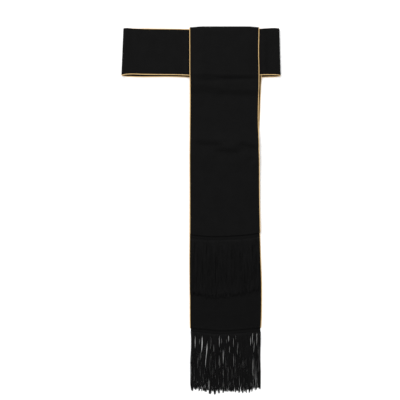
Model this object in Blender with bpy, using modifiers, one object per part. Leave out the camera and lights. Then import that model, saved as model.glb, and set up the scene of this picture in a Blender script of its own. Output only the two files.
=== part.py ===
"""A fringed band cincture, fastened and laid flat with its face up.

The waistband is one stiff strip, wrapped into a loop, lapped and closed with hook-and-loop tape, and
pressed flat. The falls are one long strip, folded over the waistband's upper edge: its short end hangs
in front of the band, and its long end passes through the loop, behind the band's front layer. Both
strips have a round piping along each long edge, and the falls end in two cord fringes.

X runs along the waistband, Y up the falls and Z up from the surface that it lies on. The shapes are
laid out round the middle of the falls' top fold, and the whole is then moved so that the origin is at
the middle of its box, on the surface.
"""

import math
from collections import namedtuple

import bmesh
import bpy
import numpy as np

MM = 0.001

# Walls, trim and the room between pieces.
CLOTH = 2.0 * MM
PIPING = 2.6 * MM
SEAM_GAP = 0.3 * MM
TAPE = 1.0 * MM
LAYER = PIPING + SEAM_GAP
EDGE_TO_CLOTH = PIPING + SEAM_GAP

# The waistband, measured over its piping, and the places of its two end folds.
BAND_HEIGHT = 112.0 * MM
LEFT_FOLD = -245.4 * MM
RIGHT_FOLD = 131.5 * MM
LEFT_FOLD_SLANT = 4.7 * MM
RIGHT_FOLD_SLANT = -2.9 * MM
FOLD_RADIUS = 2.6 * MM
FOLD_SWELL = 20.0 * MM

# The lap, where one end of the waistband is fastened over the other, under the falls.
LAP_LEFT = -50.0 * MM
LAP_RIGHT = 52.0 * MM
LAP_RISE = CLOTH + 2 * TAPE + 3 * SEAM_GAP
LAP_SLOPE = 32.0 * MM
TAPE_WIDTH = 76.0 * MM
TAPE_HEIGHT = 88.0 * MM

# The falls, down from their top fold.
FALLS_EDGE = 85.0 * MM
BAND_CLEAR = 118.5 * MM
FRONT_HEM = 502.0 * MM
BACK_HEM = 728.0 * MM
HEM_BEND = 70.0 * MM
BACK_DROP_START = 122.5 * MM
BACK_DROP_END = 140.0 * MM
TOP_DIP = 1.6 * MM

# The fringes, down from their hem.
HEADING_HEIGHT = 12.0 * MM
HEADING_THICKNESS = 1.6 * MM
STRANDS = 104
STRAND_WIDTH = 1.05 * MM
STRAND_LEVELS = (0.22, 0.45, 0.7, 1.0)
OFF_THE_FLOOR = 0.2 * MM
PARTING_REACH = 14.0 * MM
RAGGED = 1.3 * MM

Edge = namedtuple("Edge", "down left right")
Lie = namedtuple("Lie", "along middle")
Wave = namedtuple("Wave", "left_down right_down rise")
Bow = namedtuple("Bow", "across down")
Parting = namedtuple("Parting", "across down_from down_to opening")

# The outer edges of the falls' piping, in millimetres from the falls' centre line.
FRONT_EDGES = (
    Edge(0, -85.4, 81.8),
    Edge(20, -85.3, 81.6),
    Edge(56, -85.1, 80.8),
    Edge(108, -85.0, 81.8),
    Edge(140, -84.3, 81.8),
    Edge(175, -84.3, 81.2),
    Edge(212, -84.5, 80.9),
    Edge(260, -84.9, 82.1),
    Edge(296, -85.2, 83.2),
    Edge(416, -85.0, 84.4),
    Edge(502, -85.0, 85.6),
)
BACK_EDGES = (
    Edge(0, -85.4, 81.8),
    Edge(56, -85.2, 84.6),
    Edge(118, -85.0, 88.2),
    Edge(140, -85.0, 87.4),
    Edge(175, -85.0, 85.4),
    Edge(212, -85.0, 84.4),
    Edge(272, -85.0, 82.2),
    Edge(330, -85.0, 82.9),
    Edge(416, -85.2, 83.9),
    Edge(512, -85.5, 85.7),
    Edge(560, -85.7, 87.1),
    Edge(608, -85.4, 88.4),
    Edge(656, -85.0, 88.6),
    Edge(704, -84.8, 88.0),
    Edge(728, -84.4, 87.0),
)

# The middle of the waistband's height along each layer, in millimetres down from the top fold.
FRONT_LIE = (
    Lie(-244, 61.6),
    Lie(-236, 60.0),
    Lie(-224, 58.9),
    Lie(-199, 59.6),
    Lie(-142, 60.4),
    Lie(-84, 61.3),
    Lie(0, 61.8),
    Lie(84, 60.6),
    Lie(104, 59.4),
    Lie(118, 59.3),
    Lie(126, 60.6),
    Lie(130, 61.6),
)
BACK_LIE = (
    Lie(-244, 62.3),
    Lie(-234, 63.6),
    Lie(-222, 64.5),
    Lie(-56, 64.9),
    Lie(110, 64.6),
    Lie(122, 63.8),
    Lie(130, 62.8),
)

# Soft waves across the front fall: the height over the fall behind it, in millimetres.
FRONT_WAVES = (
    Wave(150, 163, 0.0),
    Wave(214, 224, 1.6),
    Wave(277, 295, 0.0),
    Wave(362, 370, 1.2),
    Wave(444, 450, 0.1),
    Wave(520, 520, 0.0),
)

# How each hem and each row of strand ends bows, in millimetres down from the top fold.
FRONT_HEM_BOW = (
    Bow(-85, 498),
    Bow(-60, 501.6),
    Bow(-28, 504.7),
    Bow(0, 503.8),
    Bow(30, 500),
    Bow(60, 496),
    Bow(86, 491.5),
)
BACK_HEM_BOW = (
    Bow(-85, 726.5),
    Bow(-48, 728.4),
    Bow(-24, 731.5),
    Bow(0, 730.6),
    Bow(24, 728.2),
    Bow(60, 726),
    Bow(88, 723.5),
)
FRONT_ENDS = (Bow(-85, 641), Bow(-30, 650), Bow(10, 647), Bow(50, 641), Bow(86, 632))
BACK_ENDS = (Bow(-85, 864), Bow(-58, 870), Bow(-29, 877), Bow(15, 874), Bow(60, 873), Bow(88, 864))

# Where the strands of a fringe part, in millimetres across the falls and down from the hem.
BACK_PARTINGS = (
    Parting(-72, 16, 48, 3.0),
    Parting(-55, 16, 60, 4.2),
    Parting(-46, 40, 90, 4.4),
    Parting(-34, 104, 142, 3.4),
    Parting(-13, 18, 112, 3.8),
    Parting(8, 18, 58, 2.8),
    Parting(31, 16, 58, 2.2),
    Parting(70, 10, 104, 5.2),
    Parting(66, 96, 142, 3.6),
)
FRONT_PARTINGS = (
    Parting(-64, 20, 84, 3.2),
    Parting(-22, 50, 120, 3.4),
    Parting(16, 16, 70, 3.0),
    Parting(48, 60, 140, 3.8),
    Parting(74, 20, 66, 2.8),
)


def ease(share):
    """0 to 1 along a smooth step with level ends."""
    share = np.clip(share, 0.0, 1.0)
    return share * share * (3 - 2 * share)


def along(table, at, column, key=0):
    """The value of a table's column at each place, on a smooth curve through its rows, in metres."""
    places = np.array([row[key] for row in table], float) * MM
    values = np.array([row[column] for row in table], float) * MM
    slopes = np.gradient(values, places)
    at = np.clip(np.asarray(at, float), places[0], places[-1])
    row = np.clip(np.searchsorted(places, at) - 1, 0, len(places) - 2)
    span = places[row + 1] - places[row]
    t = (at - places[row]) / span
    return (
        (1 + 2 * t) * (1 - t) ** 2 * values[row]
        + t * (1 - t) ** 2 * span * slopes[row]
        + t * t * (3 - 2 * t) * values[row + 1]
        + t * t * (t - 1) * span * slopes[row + 1]
    )


def crown(x):
    """1 over the lap, and 0 at the falls' edges."""
    return ease((x + FALLS_EDGE) / LAP_SLOPE) * ease((FALLS_EDGE - x) / LAP_SLOPE)


def front_fall_height(x, down):
    """The underside of the front fall: over the waistband, then down onto the back fall in soft waves."""
    across = (x + FALLS_EDGE) / (2 * FALLS_EDGE)
    height = 3 * LAYER + LAP_RISE * crown(x)
    start = np.full_like(x, BAND_CLEAR)
    for wave in FRONT_WAVES:
        end = (wave.left_down + (wave.right_down - wave.left_down) * across) * MM
        step = ease((down - start) / (end - start))
        height = height + (LAYER + wave.rise * MM - height) * step
        start = end
    return height


def back_fall_height(down):
    """The underside of the back fall: over the waistband's back layer, then down onto the surface."""
    return LAYER * (1 - ease((down - BACK_DROP_START) / (BACK_DROP_END - BACK_DROP_START)))


def fall_columns():
    """Places across the falls as shares of their width, closer together where they cross the lap's slopes."""
    slope = np.linspace(0.0, 0.19, 6)
    return np.concatenate([slope, [0.32, 0.5, 0.68], 1 - slope[::-1]])


def fall_rows(hem, edges, bow, height, downs):
    """Rows of points down the middle of one fall's wall, from the downs given, each bent near its hem."""
    rows = []
    for down in downs:
        left = along(edges, down, 1) + EDGE_TO_CLOTH
        right = along(edges, down, 2) - EDGE_TO_CLOTH
        x = left + (right - left) * fall_columns()
        bent = down + (along(bow, x, 1) - hem) * ease((down - hem + HEM_BEND) / HEM_BEND)
        z = height(x, bent) + CLOTH / 2
        rows.append(np.stack([x, -bent, z], axis=1))
    return rows


def top_fold_rows():
    """Rows of points round the falls' top fold, from the front to the back: half a turn in each column."""
    left = along(FRONT_EDGES, 0.0, 1) + EDGE_TO_CLOTH
    right = along(FRONT_EDGES, 0.0, 2) - EDGE_TO_CLOTH
    x = left + (right - left) * fall_columns()
    front = 3 * LAYER + LAP_RISE * crown(x) + CLOTH / 2
    back = np.full_like(x, LAYER + CLOTH / 2)
    radius = (front - back) / 2
    outer = -TOP_DIP * (1 - crown(x))
    rows = []
    for turn in np.linspace(90, -90, 9):
        angle = math.radians(turn)
        y = outer - CLOTH / 2 - radius + radius * math.cos(angle)
        z = (front + back) / 2 + radius * math.sin(angle)
        rows.append(np.stack([x, y, z], axis=1))
    return rows


def falls_grid():
    """The whole falls strip as a grid of points in the middle of its wall, from front hem to back hem."""
    front_downs = np.concatenate(
        [
            np.linspace(FRONT_HEM, FRONT_HEM - HEM_BEND, 4),
            np.linspace(410 * MM, 180 * MM, 11),
            np.linspace(170 * MM, BAND_CLEAR, 10),
            np.linspace(95 * MM, 12 * MM, 4),
        ]
    )
    back_downs = np.concatenate(
        [
            np.linspace(12 * MM, BACK_DROP_START, 4),
            np.linspace(BACK_DROP_START + 4 * MM, BACK_DROP_END, 4),
            np.linspace(175 * MM, BACK_HEM - HEM_BEND, 12),
            np.linspace(BACK_HEM - 40 * MM, BACK_HEM, 3),
        ]
    )
    front = fall_rows(FRONT_HEM, FRONT_EDGES, FRONT_HEM_BOW, front_fall_height, front_downs)
    back = fall_rows(BACK_HEM, BACK_EDGES, BACK_HEM_BOW, lambda x, down: back_fall_height(down), back_downs)
    return np.array(front + top_fold_rows() + back)


def band_stations():
    """The waistband's path from its under end round the loop to its over end: x, middle y and middle z."""
    right_centre = RIGHT_FOLD - CLOTH / 2 - FOLD_RADIUS
    left_centre = LEFT_FOLD + CLOTH / 2 + FOLD_RADIUS
    lying = LAYER + CLOTH / 2
    swollen = CLOTH / 2 + 2 * FOLD_RADIUS

    def front(xs, over_lap=False):
        """The front layer: over the back fall, down to the back layer, and up into each end's swell."""
        outside = ease((np.abs(xs - 1.5 * MM) - 90 * MM) / (13 * MM))
        z = 2 * LAYER + CLOTH / 2 + (lying - 2 * LAYER - CLOTH / 2) * outside
        z = z + (LAP_RISE * crown(xs) if over_lap else 0.0)
        right_swell = ease((xs - right_centre + FOLD_SWELL) / FOLD_SWELL)
        left_swell = ease((left_centre + FOLD_SWELL - xs) / FOLD_SWELL)
        z = z + (swollen - lying) * np.maximum(right_swell, left_swell)
        return np.stack([xs, -along(FRONT_LIE, xs, 1), z], axis=1)

    def end_fold(centre, side, turns):
        """Half a turn round an end, sliding from one layer's middle line to the other's."""
        angle = np.radians(turns)
        x = centre + side * FOLD_RADIUS * np.cos(angle)
        z = CLOTH / 2 + FOLD_RADIUS + FOLD_RADIUS * np.sin(angle)
        share = (1 - np.sin(angle)) / 2
        upper = -along(FRONT_LIE, np.full_like(x, centre), 1)
        lower = -along(BACK_LIE, np.full_like(x, centre), 1)
        return np.stack([x, upper + (lower - upper) * share, z], axis=1)

    turns = np.linspace(90, -90, 9)
    back_x = np.concatenate([[right_centre - 6 * MM, 110 * MM, 60 * MM], np.linspace(0, -220 * MM, 5)])
    back_x = np.concatenate([back_x, [left_centre + 6 * MM]])
    back = np.stack([back_x, -along(BACK_LIE, back_x, 1), np.full_like(back_x, CLOTH / 2)], axis=1)
    under_end = np.concatenate([[LAP_LEFT, 0.0, 50 * MM, 82 * MM], np.linspace(91.5 * MM, 104.5 * MM, 5)])
    over_end = np.concatenate([np.linspace(-101.5 * MM, -88.5 * MM, 5), np.linspace(-85 * MM, -53 * MM, 7)])
    return np.concatenate(
        [
            front(under_end),
            front(np.linspace(right_centre - FOLD_SWELL, right_centre - 4 * MM, 5)),
            end_fold(right_centre, 1, turns),
            back,
            end_fold(left_centre, -1, turns[::-1]),
            front(np.linspace(left_centre + 4 * MM, left_centre + FOLD_SWELL, 5)),
            front(np.linspace(-205 * MM, -115 * MM, 5)),
            front(over_end, over_lap=True),
            front(np.array([-30 * MM, 0.0, 30 * MM, LAP_RIGHT]), over_lap=True),
        ]
    )


def band_grid():
    """The waistband as a grid of points in the middle of its wall: stations by places across its height."""
    path = band_stations()
    cloth_height = BAND_HEIGHT - 2 * EDGE_TO_CLOTH
    slant = np.interp(path[:, 0], [LEFT_FOLD, RIGHT_FOLD], [LEFT_FOLD_SLANT, RIGHT_FOLD_SLANT])
    columns = []
    for share in np.linspace(0.5, -0.5, 6):
        shift = np.stack([slant * share, np.full_like(slant, cloth_height * share), 0 * slant], axis=1)
        columns.append(path + shift)
    return np.stack(columns, axis=1)


def material(name, colour, roughness):
    made = bpy.data.materials.new(name)
    made.use_nodes = True
    shader = made.node_tree.nodes["Principled BSDF"]
    shader.inputs["Base Color"].default_value = (*colour, 1.0)
    shader.inputs["Roughness"].default_value = roughness
    shader.inputs["Metallic"].default_value = 0.0
    return made


def add(name, data, finish, collection, layout):
    """One named piece, placed with the whole layout."""
    piece = bpy.data.objects.new(name, data)
    data.materials.append(finish)
    collection.objects.link(piece)
    piece.parent = layout
    return piece


def cloth_wall(name, grid, finish, collection, layout):
    """A cloth wall: an open surface through a grid of points, given its thickness both ways."""
    rows, columns = grid.shape[:2]
    corner = np.arange(rows * columns).reshape(rows, columns)
    faces = np.stack([corner[:-1, :-1], corner[1:, :-1], corner[1:, 1:], corner[:-1, 1:]], axis=-1)
    mesh = bpy.data.meshes.new(name)
    mesh.from_pydata(grid.reshape(-1, 3).tolist(), [], faces.reshape(-1, 4).tolist())
    mesh.shade_smooth()
    piece = add(name, mesh, finish, collection, layout)
    wall = piece.modifiers.new("Wall", "SOLIDIFY")
    wall.thickness = CLOTH
    wall.offset = 0.0
    wall.use_even_offset = True
    return piece


def piping(name, edge, outwards, finish, collection, layout):
    """A round piping beside a cloth edge, a seam's gap out from it, with its underside level with the cloth's."""
    middle = edge + np.array(outwards) * (SEAM_GAP + PIPING / 2) + np.array([0, 0, (PIPING - CLOTH) / 2])
    curve = bpy.data.curves.new(name, "CURVE")
    curve.dimensions = "3D"
    curve.bevel_depth = PIPING / 2
    curve.bevel_resolution = 1
    curve.use_fill_caps = True
    spline = curve.splines.new("POLY")
    spline.points.add(len(middle) - 1)
    spline.points.foreach_set("co", np.column_stack([middle, np.ones(len(middle))]).ravel())
    return add(name, curve, finish, collection, layout)


def tape(name, underside, finish, collection, layout):
    """A flat piece of closure tape in the middle of the lap."""
    mesh = bpy.data.meshes.new(name)
    shape = bmesh.new()
    bmesh.ops.create_cube(shape, size=1.0)
    bmesh.ops.scale(shape, vec=(TAPE_WIDTH, TAPE_HEIGHT, TAPE), verts=shape.verts)
    middle = (LAP_LEFT + LAP_RIGHT) / 2
    place = (middle, -along(FRONT_LIE, middle, 1), underside + TAPE / 2)
    bmesh.ops.translate(shape, vec=[float(part) for part in place], verts=shape.verts)
    shape.to_mesh(mesh)
    shape.free()
    return add(name, mesh, finish, collection, layout)


def parted(x, down, partings):
    """Where a strand that starts at x lies at a distance down from the hem: pushed aside by each parting."""
    moved = x
    for parting in partings:
        middle = (parting.down_from + parting.down_to) / 2 * MM
        half = (parting.down_to - parting.down_from) / 2 * MM
        open_here = max(0.0, 1 - ((down - middle) / half) ** 2)
        away = x - parting.across * MM
        push = math.copysign(parting.opening / 2 * MM, away) * max(0.0, 1 - abs(away) / PARTING_REACH)
        moved += push * open_here
    return moved


def fringe(name, left, right, hem, ends, partings, lift, finish, collection, layout):
    """A heading strip along a hem's row of points, and cords that each grow out of the strip's lower edge."""
    pitch = (right - left - STRAND_WIDTH) / (STRANDS - 1)
    roots = left + STRAND_WIDTH / 2 + pitch * np.arange(STRANDS)
    sides = np.stack([roots - STRAND_WIDTH / 2, roots + STRAND_WIDTH / 2], axis=1).ravel()
    hem_y = np.interp(sides, hem[:, 0], hem[:, 1]) - SEAM_GAP
    ends_y = -along(ends, roots, 1)
    ragged = np.random.default_rng(STRANDS).uniform(-1, 1, STRANDS) * RAGGED
    low, high = lift, lift + HEADING_THICKNESS
    shape = bmesh.new()
    heading = []
    for x, y in zip(sides, hem_y):
        corners = ((y, high), (y - HEADING_HEIGHT, high), (y - HEADING_HEIGHT, low), (y, low))
        heading.append([shape.verts.new((x, corner_y, z)) for corner_y, z in corners])
    for station, (near, far) in enumerate(zip(heading, heading[1:])):
        for side in range(4):
            if side == 1 and station % 2 == 0:
                continue  # a cord grows here
            following = (side + 1) % 4
            shape.faces.new((near[side], near[following], far[following], far[side]))
    shape.faces.new(heading[0])
    shape.faces.new(heading[-1])
    for strand, root in enumerate(roots):
        near, far = heading[2 * strand], heading[2 * strand + 1]
        ring = [near[1], far[1], far[2], near[2]]
        top_y = (near[1].co.y + far[1].co.y) / 2
        length = top_y - ends_y[strand] + ragged[strand]
        for level in STRAND_LEVELS:
            y = top_y - length * level
            x = parted(root, HEADING_HEIGHT + length * level, partings)
            half = STRAND_WIDTH / 2
            z = lift + HEADING_THICKNESS / 2
            corners = ((-half, half), (half, half), (half, -half), (-half, -half))
            following = [shape.verts.new((x + dx, y, z + dz)) for dx, dz in corners]
            for side in range(4):
                after = (side + 1) % 4
                shape.faces.new((ring[side], ring[after], following[after], following[side]))
            ring = following
        shape.faces.new(ring)
    bmesh.ops.recalc_face_normals(shape, faces=shape.faces)
    mesh = bpy.data.meshes.new(name)
    shape.to_mesh(mesh)
    shape.free()
    return add(name, mesh, finish, collection, layout)


def stand_on_origin(pieces, layout):
    """Moves the layout so that the middle of the whole box's underside is at the origin."""
    bpy.context.view_layer.update()
    graph = bpy.context.evaluated_depsgraph_get()
    corners = []
    for piece in pieces:
        mesh = piece.evaluated_get(graph).to_mesh()
        points = np.empty(len(mesh.vertices) * 3, np.float32)
        mesh.vertices.foreach_get("co", points)
        points = points.reshape(-1, 3)
        corners += [points.min(axis=0), points.max(axis=0)]
        piece.evaluated_get(graph).to_mesh_clear()
    low, high = np.min(corners, axis=0), np.max(corners, axis=0)
    layout.location = (-(low[0] + high[0]) / 2, -(low[1] + high[1]) / 2, -low[2])


def main():
    for old in list(bpy.data.objects):
        bpy.data.objects.remove(old, do_unlink=True)
    collection = bpy.data.collections.new("Cincture")
    bpy.context.scene.collection.children.link(collection)
    layout = bpy.data.objects.new("Layout", None)
    collection.objects.link(layout)

    black_cloth = material("Black cloth", (0.010, 0.010, 0.011), 0.85)
    gold_satin = material("Gold satin piping", (0.60, 0.37, 0.115), 0.45)
    black_cord = material("Black fringe cord", (0.012, 0.012, 0.013), 0.6)
    black_tape = material("Black closure tape", (0.015, 0.015, 0.016), 0.9)

    band = band_grid()
    falls = falls_grid()
    tape_bed = 2 * LAYER + CLOTH + SEAM_GAP
    place = (collection, layout)
    pieces = [
        cloth_wall("waistband", band, black_cloth, *place),
        piping("waistband_piping_top", band[:, 0], (0, 1, 0), gold_satin, *place),
        piping("waistband_piping_bottom", band[:, -1], (0, -1, 0), gold_satin, *place),
        tape("closure_hook_tape", tape_bed, black_tape, *place),
        tape("closure_loop_tape", tape_bed + TAPE + SEAM_GAP, black_tape, *place),
        cloth_wall("falls", falls, black_cloth, *place),
        piping("falls_piping_left", falls[:, 0], (-1, 0, 0), gold_satin, *place),
        piping("falls_piping_right", falls[:, -1], (1, 0, 0), gold_satin, *place),
        fringe(
            "fringe_front", -82.0 * MM, 82.5 * MM, falls[0], FRONT_ENDS,
            FRONT_PARTINGS, LAYER, black_cord, *place,
        ),
        fringe(
            "fringe_back", -81.5 * MM, 84.0 * MM, falls[-1], BACK_ENDS,
            BACK_PARTINGS, OFF_THE_FLOOR, black_cord, *place,
        ),
    ]
    stand_on_origin(pieces, layout)


main()
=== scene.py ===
"""A band cincture laid flat, in black cloth with gold piping and black cord fringes.

Every shape is a surface worked out from two parameters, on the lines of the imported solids: a cloth strip is
a sheet along its length and across its width, with two faces that meet in rounded edges, and a piping, a
cord or a stitch is a ring carried along a line. Lengths are in metres, and a UV map holds millimetres.
"""

import math
from collections import namedtuple

import bpy
import numpy as np
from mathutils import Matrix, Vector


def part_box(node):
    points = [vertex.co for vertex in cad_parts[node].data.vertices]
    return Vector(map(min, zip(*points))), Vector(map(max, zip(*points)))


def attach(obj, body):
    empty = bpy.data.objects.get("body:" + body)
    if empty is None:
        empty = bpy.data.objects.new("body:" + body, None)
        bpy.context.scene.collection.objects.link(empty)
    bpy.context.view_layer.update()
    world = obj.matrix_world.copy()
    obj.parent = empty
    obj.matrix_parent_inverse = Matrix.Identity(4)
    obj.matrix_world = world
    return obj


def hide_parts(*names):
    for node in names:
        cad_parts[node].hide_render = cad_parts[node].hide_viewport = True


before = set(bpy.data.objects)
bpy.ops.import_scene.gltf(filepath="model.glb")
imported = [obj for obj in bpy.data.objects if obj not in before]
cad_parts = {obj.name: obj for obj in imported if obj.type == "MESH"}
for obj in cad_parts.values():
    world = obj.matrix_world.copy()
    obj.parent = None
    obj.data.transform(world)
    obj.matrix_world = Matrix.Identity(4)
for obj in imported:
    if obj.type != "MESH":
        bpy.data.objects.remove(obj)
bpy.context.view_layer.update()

MM = 0.001
RIDES_ON = "root"

# The solids' own sizes: walls, trim and levels.
CLOTH = 2.0 * MM
PIPING = 2.6 * MM
SEAM_GAP = 0.3 * MM
TAPE = 1.0 * MM
LAYER = PIPING + SEAM_GAP
EDGE_TO_CLOTH = PIPING + SEAM_GAP

# The levels that layers lie on: the waistband's front over the back fall, and the front fall over both.
ON_BACK_FALL = 2 * LAYER
ON_BAND = 3 * LAYER

# The finer cloth in the middle of its wall: its thickness, how far its edge is rounded and runs on into the
# seam, and how uneven it lies.
FACE_TO_FACE = 1.6 * MM
EDGE_ROUNDING = 0.6 * FACE_TO_FACE
INTO_SEAM = 1.7 * MM
UNEVENNESS = 0.5 * MM
BACK_UNEVENNESS = 0.25 * MM

# The cloths' grids: how many columns and rows, how far the outer ones lie from the edge in millimetres, and
# the stations of a half turn.
BAND_COLUMNS = 26
BAND_BACK_ROWS = 100
FALLS_COLUMNS = 40
FRONT_ROWS = 300
BACK_ROWS = 250
EDGE_COLUMNS = (0, 0.1, 0.3, 0.6, 1.0, 1.5, 2.2, 3.2, 4.6)
HEM_ROWS = (0, 0.1, 0.3, 0.6, 1.0, 1.6, 2.6)
HALF_TURN = np.radians(np.linspace(90, -90, 19))

# The piping: its rings and their ends, its lip, its puckers and swells, and how far a rolled one slips in
# and down.
PIPING_STEP = 1.2 * MM
PIPING_SIDES = 14
PIPING_RADIUS = 0.72 * MM
PIPING_END = 0.55
LIP_REACH = 1.2 * MM
LIP_ANGLE = 0.3
PUCKER = 0.035
SWELL = 0.02
SWELL_LENGTH = 11.0 * MM
ROLLED_IN = 1.6 * MM
ROLLED_DOWN = 1.55 * MM

# The waistband: its height with its piping, its end folds, and the lap under the falls.
BAND_HEIGHT = 110.8 * MM
LEFT_FOLD = -246.3 * MM
RIGHT_FOLD = 132.0 * MM
LEFT_FOLD_SLANT = 4.7 * MM
RIGHT_FOLD_SLANT = -2.9 * MM
FOLD_RADIUS = 2.6 * MM
FOLD_SWELL = 20.0 * MM
LAP_LEFT = -50.0 * MM
LAP_RIGHT = 52.0 * MM
LAP_RISE = CLOTH + 2 * TAPE + 3 * SEAM_GAP
LAP_SLOPE = 32.0 * MM

# Where the band's front layer comes down beside the back fall: the middle between the two places, how far
# from it they start, and over what length.
STEP_MIDDLE = 1.5 * MM
STEP_START = 90.0 * MM
STEP_LENGTH = 13.0 * MM

# The band's creases show above this level, and outside the falls.
RELIEF_LEVEL = 3.0 * MM
RELIEF_FADE = 1.0 * MM
RELIEF_GAP = 2.0 * MM

# How far the band's top corners stand up beyond its middle line, and how far in from the fold that reaches.
LEFT_CORNER = 3.4 * MM
LEFT_CORNER_REACH = 28.0 * MM
RIGHT_CORNER = 3.6 * MM
RIGHT_CORNER_REACH = 80.0 * MM

# The falls, down from their top fold: their hems, the stretch above a hem that bends with it, and how far
# the top fold dips beside the lap.
FALLS_EDGE = 85.0 * MM
FRONT_HEM = 502.0 * MM
BACK_HEM = 728.0 * MM
HEM_BEND = 70.0 * MM
TOP_DIP = 1.6 * MM

# Where the front fall comes down off the lap: the middle of that drop, half its length at the right and at
# the left, and where and over what width the one changes into the other.
LAP_DROP = 121.5 * MM
LAP_DROP_HALF = 5.6 * MM
LAP_DROP_HALF_LEFT = 10.5 * MM
LAP_DROP_CHANGE = -45.0 * MM
LAP_DROP_CHANGE_WIDTH = 40.0 * MM

# Where the back fall comes down from the band's back layer.
BACK_DROP_START = 122.5 * MM
BACK_DROP_END = 140.0 * MM

# How near the falls' even rows come to the fold and the hems, and how far from both the cloth lies calm.
FOLD_TO_ROWS = 12.0 * MM
ROWS_TO_HEM = 4.0 * MM
CALM = 20.0 * MM
CALM_PAST_HEM = 6.0 * MM

# A trough's lower side is gentler than its upper side by this factor.
GENTLE_SIDE = 2.4

# How far the fringes and the back heading reach, and what the back ones lie on.
FRONT_FRINGE_LEFT = -82.0 * MM
FRONT_FRINGE_RIGHT = 82.5 * MM
BACK_FRINGE_LEFT = -82.5 * MM
BACK_FRINGE_RIGHT = 85.4 * MM
BACK_HEADING_RIGHT = 85.0 * MM
BACK_HEADING_LEVEL = 0.02 * MM
BACK_CORD_LEVEL = 0.1 * MM

# The fringes' woven headings: a tape, and below its groove rows of chained yarn.
HEADING_HEIGHT = 12.0 * MM
HEADING_TUCK = 1.6 * MM
HEADING_TAPE = 0.17 * MM
HEADING_STEP = 0.5 * MM
HEADING_ROWS = 40
GROOVE = 5.0 * MM
YARN = 0.6 * MM
YARN_END = 2.4 * MM
CHAIN_ROWS = 4
CHAIN_HEIGHT = 0.35 * MM
LINK_LENGTH = 2.0 * MM
LINK_LEAN = 0.7

# The closure tapes: their backing, border, rounded edge, the rise of their field, and their hooks.
TAPE_BACKING = 0.45 * MM
TAPE_BORDER = 3.0 * MM
TAPE_ROUNDING = 0.8 * MM
TAPE_FIELD_RISE = 0.6 * MM
TAPE_STEP = 0.8 * MM
HOOK_STEP = 2.4 * MM

# Sewing.
STITCH_PITCH = 3.2 * MM
STITCH_LENGTH = 2.5 * MM
STITCH_THICKNESS = 0.30 * MM
STITCH_ARCH = 0.3
STITCH_SIDES = 6
STITCH_INSET = 2.2 * MM
HEM_STITCH_INSET = 4.5 * MM

# The fringes' cords, with a ring at each of these shares of a cord's length. They lie in layers that open
# out below the heading and settle again towards the tips.
CORDS = 760
CORD_STATIONS = np.concatenate([np.linspace(0, 0.93, 20), [0.965, 1.0]])
CORD_RADIUS = 0.46 * MM
CORD_THICKNESS = (0.85, 1.1)
CORD_TIP = 0.6
CORD_SIDES = 4
CORD_TUCK = 3.0 * MM
CORD_LAYERS = 4
LOWEST_LAYER = 1.1
SEWN_LAYER_STEP = 0.55
LOOSE_LAYER_STEP = 1.35
SETTLING = 0.8

# The locks that cords gather into, in millimetres: their widths, the share of the way that they draw a
# cord, how far they end high and low in turn, and how much shorter a cord is for its way from the middle.
MOST_LOCKS = 80
LOCK_PAST_EDGE = 3.0 * MM
LOCK_WIDTH = (3.2, 6.0)
LOCK_PULL = (0.2, 0.6)
LOCK_STEP = (1.0, 4.0)
LOCK_STRAY = 0.8
LOCK_POINT = 0.7
TIPS_LOWER = 1.6 * MM

# How a cord wanders, slants and splays at its tip, in millimetres, the share of cords that lie across the
# partings, and how far cords stray past the fringe's sides.
WANDER_LENGTH = (8, 30)
WANDER_WIDTH = (0.08, 0.36)
SLANT = 0.4
SPLAY = 0.45
CROSSING_SHARE = 0.12
STRAY_OUT = 1.0 * MM
STRAY_KEPT = 0.3

# How far a pattern in millimetres is shifted from one cord or stitch to the next, round it and along it.
TUBE_SHIFT = (29.0, 13.0)

# The photograph's frame: its width and its middle, the camera's lens and sensor in millimetres, and half the
# floor's width.
VIEW_WIDTH = 0.960
VIEW_MIDDLE = (-2.6 * MM, 23.8 * MM)
LENS = 100.0
SENSOR = 36.0
FLOOR_HALF = 3.0

Edge = namedtuple("Edge", "down left right")
Lie = namedtuple("Lie", "along middle")
Wave = namedtuple("Wave", "left_down right_down rise")
Bow = namedtuple("Bow", "across down")
Roll = namedtuple("Roll", "along share")
Ripple = namedtuple("Ripple", "size across down start")
Section = namedtuple("Section", "share arch thickness")
Stretch = namedtuple("Stretch", "start end rows over_lap")
Crease = namedtuple("Crease", "x y turn length width height")
Parting = namedtuple("Parting", "root down_from down_to opening reach")
Lean = namedtuple("Lean", "root spread down_from down_to shift")

# The falls' left and right edges, down from the top fold, in millimetres like every table but one.
FRONT_EDGES = (
    Edge(0, -85.4, 81.8),
    Edge(20, -85.3, 81.6),
    Edge(56, -85.1, 80.8),
    Edge(108, -85.0, 81.8),
    Edge(140, -84.3, 81.8),
    Edge(175, -84.3, 81.0),
    Edge(212, -84.5, 80.3),
    Edge(236, -84.7, 80.4),
    Edge(260, -84.9, 81.4),
    Edge(296, -85.2, 82.5),
    Edge(416, -85.0, 83.7),
    Edge(502, -85.0, 85.2),
)
BACK_EDGES = (
    Edge(0, -85.4, 81.8),
    Edge(56, -85.2, 84.4),
    Edge(118, -85.0, 87.6),
    Edge(140, -85.0, 86.6),
    Edge(175, -85.0, 85.2),
    Edge(212, -85.0, 83.9),
    Edge(236, -85.0, 82.6),
    Edge(277, -85.0, 81.4),
    Edge(330, -85.0, 82.1),
    Edge(416, -85.2, 83.2),
    Edge(512, -85.5, 85.0),
    Edge(560, -85.7, 86.6),
    Edge(608, -85.4, 88.4),
    Edge(656, -85.0, 88.6),
    Edge(704, -84.8, 88.0),
    Edge(728, -84.4, 87.0),
)

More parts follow.
